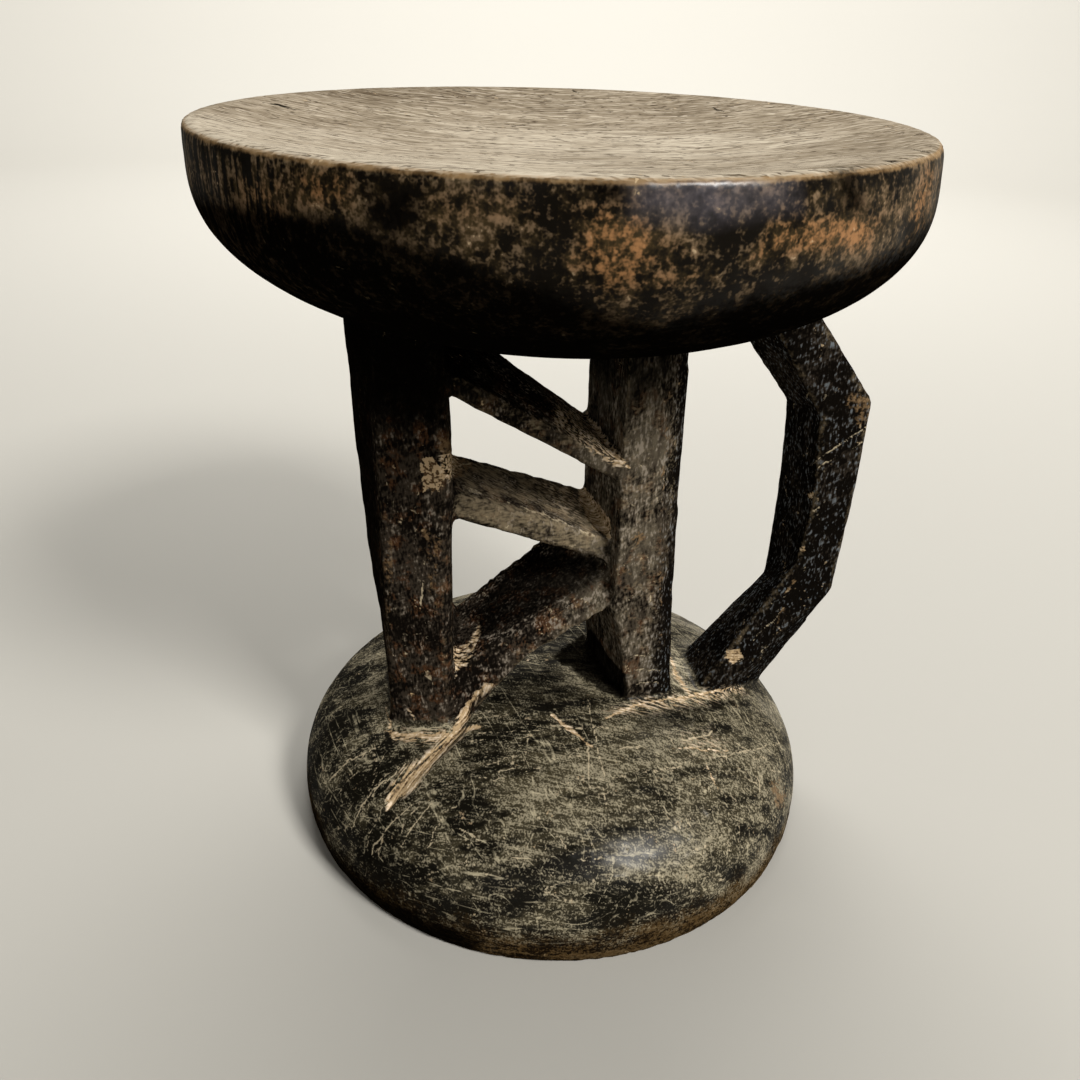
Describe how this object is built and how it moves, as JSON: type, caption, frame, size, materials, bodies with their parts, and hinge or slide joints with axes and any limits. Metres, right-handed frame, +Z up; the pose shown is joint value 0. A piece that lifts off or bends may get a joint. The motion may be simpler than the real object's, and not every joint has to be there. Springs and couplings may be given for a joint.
{
  "type": "carved wooden stool",
  "caption": "Low round stool carved from one log: dished seat over a domed base, joined by an openwork panel of posts, slanted bars and a bent side bracket.",
  "frame": {"origin": "on the floor, under the middle of the seat", "axes": "+Z up; the openwork panel faces -Y; +X towards the bent side bracket"},
  "size_m": [0.3026, 0.3006, 0.3497],
  "materials": {
    "aged_wood": "dark hand-worn wood, satin on the sides and base, bare and grey-tan on the seat top"
  },
  "bodies": {
    "root": {"carved_stool": "aged_wood"}
  },
  "joints": []
}
